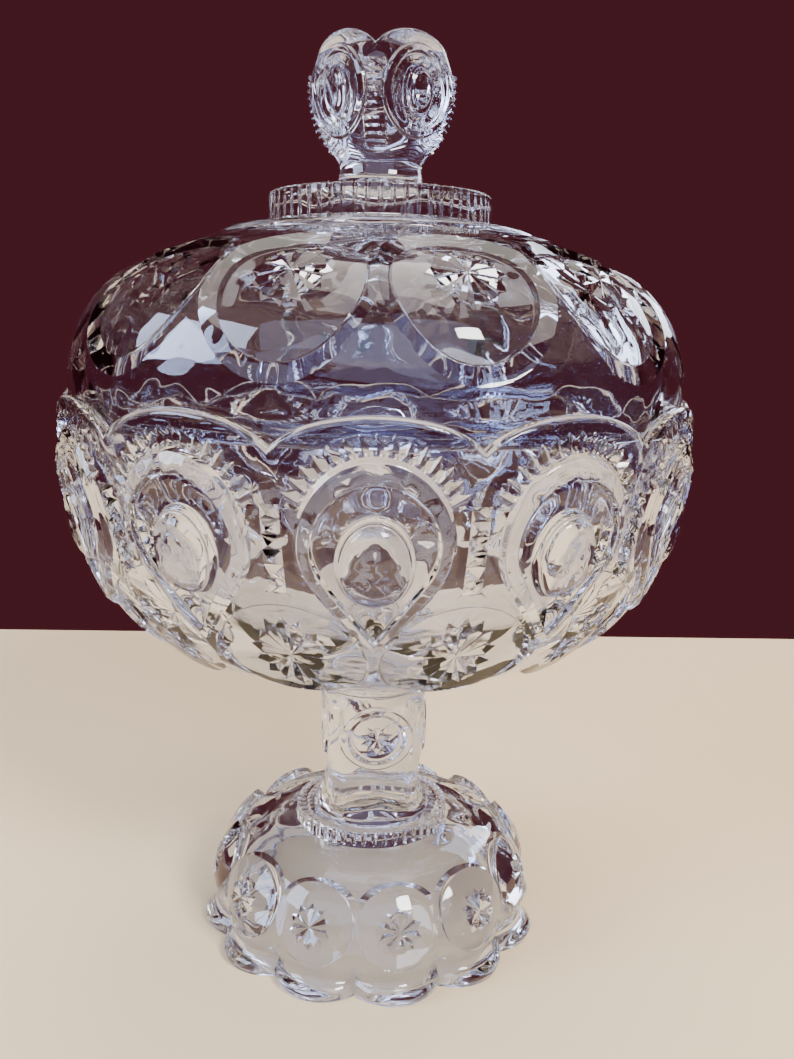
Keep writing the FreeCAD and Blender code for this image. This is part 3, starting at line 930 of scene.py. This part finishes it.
STEM_LOW, STEM_HIGH = FOOT_TOP, 87.0
STEM_FIRST = 5 * DEGREE
STEM_HALF = Profile([
    (STEM_BASE_RADIUS, STEM_LOW), (18.6, 46.0), (17.0, 51.0), (16.3, 57.0), (16.6, 62.0),
    (17.1, 68.0), (17.3, 74.0), (17.3, 79.0), (17.4, 83.5), (JOINT_RADIUS, STEM_HIGH)])
SQUARE_KNOTS = [(STEM_LOW, 2.0), (58.0, 3.4), (66.0, 4.6), (80.0, 4.6), (STEM_HIGH, 2.0)]
SIDES = 4
QUARTER = math.pi / SIDES    # half of one side's turn
STEM_SPOT = Spot(STEM_HALF, 0.0, STEM_HALF.at_height(72.0))
STEM_OVAL = oval(10.6, 10.8)
STEM_STAR = Star(10, 5.6, 3.7, 0.8)
STEM_RING_KNOTS = [(-1.0, 0.0), (0.2, 1.1), (1.4, 1.2), (2.6, -0.5)]
STEM_LENS, STEM_LENS_REACH = 1.3, 7.6
STEM_CORNER_KNOTS = [(9.9, 0.0), (11.5, 0.42)]   # by distance from a side's middle
STEM_CORNER_RADIUS = 17.0
STEM_FADE_LOW, STEM_FADE_HIGH = 8.0, 4.0
WAFER_BULGE = 1.1


def rounded_square(angle, power):
    """Distance to a rounded square of half width 1; a power of 2 is a circle."""
    side = np.abs(np.cos(angle)) ** power + np.abs(np.sin(angle)) ** power
    return side ** (-1 / power)


def stem_height(angle, length):
    """Height of a side's pattern: a ringed moon with a star, and slightly raised corners."""
    turn, reach = STEM_SPOT.polar(angle, length)
    inset = STEM_OVAL(turn) - reach
    share = np.clip(reach / STEM_LENS_REACH, 0, 1)
    moon = steps(inset, STEM_RING_KNOTS) + STEM_LENS * (1 - share ** 2)
    corner = steps(np.abs(angle) * STEM_CORNER_RADIUS, STEM_CORNER_KNOTS)
    corner = corner * (inset < STEM_RING_KNOTS[0][0])
    return moon + corner + STEM_STAR.height(*STEM_SPOT.local(angle, length))


def stem_place(angle, length):
    """The stem's outside for any angle; each quarter turn has the same panel."""
    local = local_turn(angle - STEM_FIRST, QUARTER)
    half, height, _, _ = STEM_HALF.place(length)
    power = steps(height, SQUARE_KNOTS)
    ends = smooth(length / STEM_FADE_LOW)
    ends = ends * smooth((STEM_HALF.length - length) / STEM_FADE_HIGH)
    rise = stem_height(local, length) * ends
    radius = half * rounded_square(local, power) + rise
    return around(angle, radius, height)


def make_stem():
    skin = Skin()
    sheet = Sheet(STEM_HALF, STEM_HALF.length, QUARTER, 1.1)
    insets = (-1.0, -0.6, -0.2, 0.2, 0.8, 1.4, 1.8, 2.2, 2.6, 3.4)
    STEM_SPOT.draw_rings(sheet, STEM_OVAL, 84, insets)
    STEM_STAR.draw(sheet, STEM_SPOT)
    skin.add(stem_place, shifted(sheet.faces(SIDES), STEM_FIRST))
    angles = ring_angles(STEM_FIRST - QUARTER)
    skin.fuse(angles, STEM_LOW, STEM_BASE_RADIUS, FACE_DOWN)
    skin.fuse(angles, STEM_HIGH, JOINT_RADIUS, FACE_UP)
    return skin.mesh("stem_glass")


def wafer_place(angle, share):
    swing = np.pi * share
    middle, half = (STEM_HIGH + BOWL_BASE) / 2, (BOWL_BASE - STEM_HIGH) / 2
    radius = JOINT_RADIUS + WAFER_BULGE * np.sin(swing)
    return around(angle, radius, middle - half * np.cos(swing))


def make_wafer():
    skin = Skin()
    angles = ring_angles()
    skin.add(wafer_place, grid(angles, shares(10)))
    skin.fuse(angles, STEM_HIGH, JOINT_RADIUS, FACE_DOWN)
    skin.fuse(angles, BOWL_BASE, JOINT_RADIUS, FACE_UP)
    return skin.mesh("wafer_glass")


# ---- finial

FINIAL_FIRST = 39 * DEGREE
FINIAL_HALF = Profile([
    (COVER_JOINT_RADIUS, COVER_JOINT), (16.2, 253.0), (14.0, 255.5), (13.2, 258.5),
    (13.2, 261.0), (13.8, 263.6), (15.4, 267.6), (17.0, 272.6), (18.0, 277.6),
    (18.5, 283.0), (18.5, 288.0), (18.0, 293.0), (16.8, 299.5)])
FINIAL_KNOTS = [(COVER_JOINT, 2.0), (260.0, 2.0), (272.0, 4.2), (284.0, 4.6), (296.0, 3.0)]
FINIAL_PEAK, FINIAL_DIP = 298.4, 292.6
FINIAL_CENTRE = 293.2
FINIAL_EDGE, FINIAL_LIP = 1.0, 2.0  # the upper edge's rounding: its height and its width
LIP_SHARE = 0.12             # the part of the way to the centre that the rounding takes
DISH_STEEP = 1.15
FINIAL_LOW, FINIAL_FADE = 262.0, 4.0
FINIAL_SPOT = Spot(FINIAL_HALF, 0.0, FINIAL_HALF.at_height(280.5))
FINIAL_OUTER = oval(11.8, 13.2)
FINIAL_INNER = oval(5.4, 7.6)
FINIAL_RING_KNOTS = [(-0.8, 0.0), (0.3, 1.0), (1.6, 1.1), (2.6, -1.0), (5.0, -1.6)]
FINIAL_BUTTON_KNOTS = [(-0.8, 0.0), (0.5, 2.2), (3.0, 3.2)]
RUNG_PITCH, RUNG_RISE, RUNG_HALF, RUNG_END = 2.0, 1.3, 3.2, 0.6
RUNG_LOW, RUNG_HIGH = 264.0, 288.0


def finial_top_height(angle):
    """Height of the head's upper edge at a local angle: high over a face."""
    off = np.abs(angle) / QUARTER
    return FINIAL_DIP + (FINIAL_PEAK - FINIAL_DIP) * np.maximum(0, 1 - off ** 2.1) ** 0.7


def finial_top(angle):
    """Length along the head's outline where its rounded upper edge begins."""
    wanted = finial_top_height(angle) - FINIAL_EDGE
    return np.interp(wanted, FINIAL_HALF.spots[:, 1], FINIAL_HALF.at)


def finial_height(angle, length):
    """Height of a side's pattern: a ring round a button, and serrated corners."""
    turn, reach = FINIAL_SPOT.polar(angle, length)
    inset = FINIAL_OUTER(turn) - reach
    ring = steps(inset, FINIAL_RING_KNOTS)
    button = steps(FINIAL_INNER(turn) - reach, FINIAL_BUTTON_KNOTS)
    edge = (QUARTER - np.abs(angle)) * FINIAL_HALF.radius(length)
    height = np.interp(length, FINIAL_HALF.at, FINIAL_HALF.spots[:, 1])
    rung = np.abs((height / RUNG_PITCH) % 1 - 0.5) * 2
    ladder = RUNG_RISE * (1 - rung) * np.clip((RUNG_HALF - edge) / RUNG_END, 0, 1)
    ladder = ladder * ((height > RUNG_LOW) & (height < RUNG_HIGH))
    return ring + button + ladder * (inset < FINIAL_RING_KNOTS[0][0])


def finial_place(angle, length):
    local = local_turn(angle - FINIAL_FIRST, QUARTER)
    half, height, _, _ = FINIAL_HALF.place(length)
    power = steps(height, FINIAL_KNOTS)
    rise = finial_height(local, length) * smooth((height - FINIAL_LOW) / FINIAL_FADE)
    return around(angle, half * rounded_square(local, power) + rise, height)


def finial_crown_place(angle, share):
    """The rounded upper edge and the dished top, in to the centre."""
    local = local_turn(angle - FINIAL_FIRST, QUARTER)
    edge = finial_place(angle, finial_top(local))
    flat = np.hypot(edge[..., 0], edge[..., 1])
    top = finial_top_height(local)
    lip = np.clip(share / LIP_SHARE, 0, 1)
    inside = np.clip((share - LIP_SHARE) / (1 - LIP_SHARE), 0, 1)
    swing = np.pi / 2 * lip
    radius = (flat - FINIAL_LIP * (1 - np.cos(swing))) * (1 - inside)
    height = top - FINIAL_EDGE + FINIAL_EDGE * np.sin(swing)
    return around(angle, radius, height + (FINIAL_CENTRE - top) * smooth(inside * DISH_STEEP))


def make_finial():
    skin = Skin()
    sheet = Sheet(FINIAL_HALF, finial_top, QUARTER, 0.95)
    FINIAL_SPOT.draw_rings(sheet, FINIAL_OUTER, 84, (-0.8, -0.4, 0.0, 0.3, 0.9, 1.6, 2.1, 2.6, 3.0))
    FINIAL_SPOT.draw_rings(sheet, FINIAL_INNER, 60, (-0.8, -0.4, 0.0, 0.5, 1.2, 2.0))
    draw_rungs(sheet)
    skin.add(finial_place, shifted(sheet.faces(SIDES), FINIAL_FIRST))
    angles = ring_angles(FINIAL_FIRST - QUARTER)
    rows = np.concatenate([np.linspace(0, LIP_SHARE, 6), np.linspace(LIP_SHARE, 1, 24)[1:]])
    skin.add(finial_crown_place, grid(angles, rows))
    skin.fuse(angles, COVER_JOINT, COVER_JOINT_RADIUS, FACE_DOWN)
    return skin.mesh("finial_glass")


def draw_rungs(sheet):
    """Lines along the crests and valleys of the serrated corners."""
    for height in np.arange(RUNG_LOW, RUNG_HIGH + 0.1, RUNG_PITCH / 2):
        length = FINIAL_HALF.at_height(height)
        reach = np.linspace(0.0, RUNG_HALF, 5)
        for side in (-1, 1):
            angles = side * (QUARTER - reach / float(FINIAL_HALF.radius(length)))
            sheet.line(angles, np.full(len(reach), length))


# ---- materials

def new_material(name):
    material = bpy.data.materials.new(name)
    material.use_nodes = True
    return material, material.node_tree.nodes, material.node_tree.links


def fill(node, values):
    """Set a node's inputs by their names."""
    for name, value in values.items():
        node.inputs[name].default_value = value
    return node


def clear_glass():
    """Old pressed glass: clear, faintly lilac, with slow waves and fine mould marks."""
    material, nodes, links = new_material("pressed_glass")
    shader = fill(nodes["Principled BSDF"], {
        "Base Color": (0.86, 0.895, 1.0, 1.0), "Transmission Weight": 1.0, "IOR": 1.5})
    place = nodes.new("ShaderNodeTexCoord")
    waves = fill(nodes.new("ShaderNodeTexNoise"), {"Scale": 38.0, "Detail": 1.5})
    slow = fill(nodes.new("ShaderNodeBump"), {"Strength": 0.35, "Distance": 0.006})
    marks = fill(nodes.new("ShaderNodeTexNoise"), {"Scale": 420.0, "Detail": 3.0})
    fine = fill(nodes.new("ShaderNodeBump"), {"Strength": 0.12, "Distance": 0.00006})
    wear = fill(nodes.new("ShaderNodeMapRange"), {
        "From Min": 0.35, "From Max": 0.8, "To Min": 0.0, "To Max": 0.035})
    for start, end in (
            (place.outputs["Object"], waves.inputs["Vector"]),
            (waves.outputs["Fac"], slow.inputs["Height"]),
            (place.outputs["Object"], marks.inputs["Vector"]),
            (marks.outputs["Fac"], fine.inputs["Height"]),
            (slow.outputs["Normal"], fine.inputs["Normal"]),
            (fine.outputs["Normal"], shader.inputs["Normal"]),
            (marks.outputs["Fac"], wear.inputs["Value"]),
            (wear.outputs["Result"], shader.inputs["Roughness"])):
        links.new(start, end)
    return material


def fused_joint():
    """The face where two pressings were melted together: nothing is seen of it."""
    material, nodes, links = new_material("fused_joint")
    nodes.remove(nodes["Principled BSDF"])
    clear = nodes.new("ShaderNodeBsdfTransparent")
    links.new(clear.outputs["BSDF"], nodes["Material Output"].inputs["Surface"])
    return material


def pale_cloth():
    """Plain matt cloth for the floor."""
    material, nodes, _ = new_material("floor")
    fill(nodes["Principled BSDF"], {
        "Base Color": (0.88, 0.66, 0.38, 1), "Roughness": 0.9, "Specular IOR Level": 0.1})
    return material


# ---- pieces of glass

PIECES = {
    "bowl": (make_bowl, "compote"),
    "stem": (make_stem, "compote"),
    "wafer": (make_wafer, "compote"),
    "foot": (make_foot, "compote"),
    "cover": (make_cover, "cover"),
    "finial": (make_finial, "cover"),
}


def add_object(name, data):
    thing = bpy.data.objects.new(name, data)
    bpy.context.scene.collection.objects.link(thing)
    return thing


glass = clear_glass()
joint = fused_joint()
for node, (make, body) in PIECES.items():
    mesh = make()
    mesh.materials.append(glass)
    mesh.materials.append(joint)
    piece = add_object(mesh.name, mesh)
    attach(piece, body)
    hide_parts(node)
    print(node, "triangles", len(mesh.polygons))


# ---- stage and light

FLOOR_HALF, FLOOR_GAP = 0.33, 0.0001
LIGHT_AIM = Vector((0, 0, 0.17))


def make_floor():
    mesh = bpy.data.meshes.new("floor")
    half = FLOOR_HALF
    corners = [(-half, -half, 0), (half, -half, 0), (half, half, 0), (-half, half, 0)]
    mesh.from_pydata(corners, [], [(0, 1, 2, 3)])
    mesh.materials.append(pale_cloth())
    floor = add_object("floor", mesh)
    floor.location.z = -FLOOR_GAP
    floor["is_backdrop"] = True


def soft_light(name, place, size, power, colour):
    """A rectangular softbox at a place in metres, facing the object."""
    light = bpy.data.lights.new(name, "AREA")
    light.shape = "RECTANGLE"
    light.size, light.size_y = size
    light.energy = power
    light.color = colour
    lamp = add_object(name, light)
    lamp.location = place
    lamp.rotation_euler = (LIGHT_AIM - Vector(place)).to_track_quat("-Z", "Y").to_euler()


def make_world():
    world = bpy.data.worlds.new("studio")
    world.use_nodes = True
    back = world.node_tree.nodes["Background"]
    back.inputs["Color"].default_value = (0.055, 0.010, 0.016, 1)
    back.inputs["Strength"].default_value = 1.2
    bpy.context.scene.world = world


make_floor()
make_world()
soft_light("window_right", (0.75, -1.15, 1.10), (0.50, 0.36), 40, (1.0, 0.99, 0.97))
soft_light("window_left", (-1.5, -0.6, 0.9), (0.9, 0.8), 40, (0.60, 0.72, 1.0))
soft_light("room_front", (-0.2, -2.6, 1.7), (4.5, 2.4), 84, (0.56, 0.66, 1.0))
soft_light("ceiling", (0.1, 0.2, 2.0), (1.5, 1.5), 32, (1.0, 0.93, 0.84))
soft_light("window_back", (1.0, 1.2, 0.9), (0.5, 0.8), 9, (0.80, 0.86, 1.0))


# ---- camera

CAMERA_BACK, CAMERA_HIGH = 0.330, 0.2085
CAMERA_DOWN, CAMERA_YAW, CAMERA_ROLL = 11.4 * DEGREE, -1.29 * DEGREE, 1.1 * DEGREE
LENS = 33.14


def make_camera():
    camera = bpy.data.cameras.new("camera")
    camera.lens = LENS
    camera.clip_start = 0.01
    seat = add_object("camera", camera)
    look = Euler((math.pi / 2 - CAMERA_DOWN, 0, CAMERA_YAW)).to_matrix()
    turn = Matrix.Rotation(CAMERA_ROLL, 3, "Z")
    place = Matrix.Translation((0, -CAMERA_BACK, CAMERA_HIGH))
    seat.matrix_world = place @ (look @ turn).to_4x4()
    bpy.context.scene.camera = seat


make_camera()
cycles = bpy.context.scene.cycles
cycles.max_bounces = 24
cycles.transmission_bounces = 24
cycles.glossy_bounces = 8
cycles.transparent_max_bounces = 24

record = {"cad": CAD_BOUNDS, "visual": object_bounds()}
json.loads(json.dumps(record, default=list))
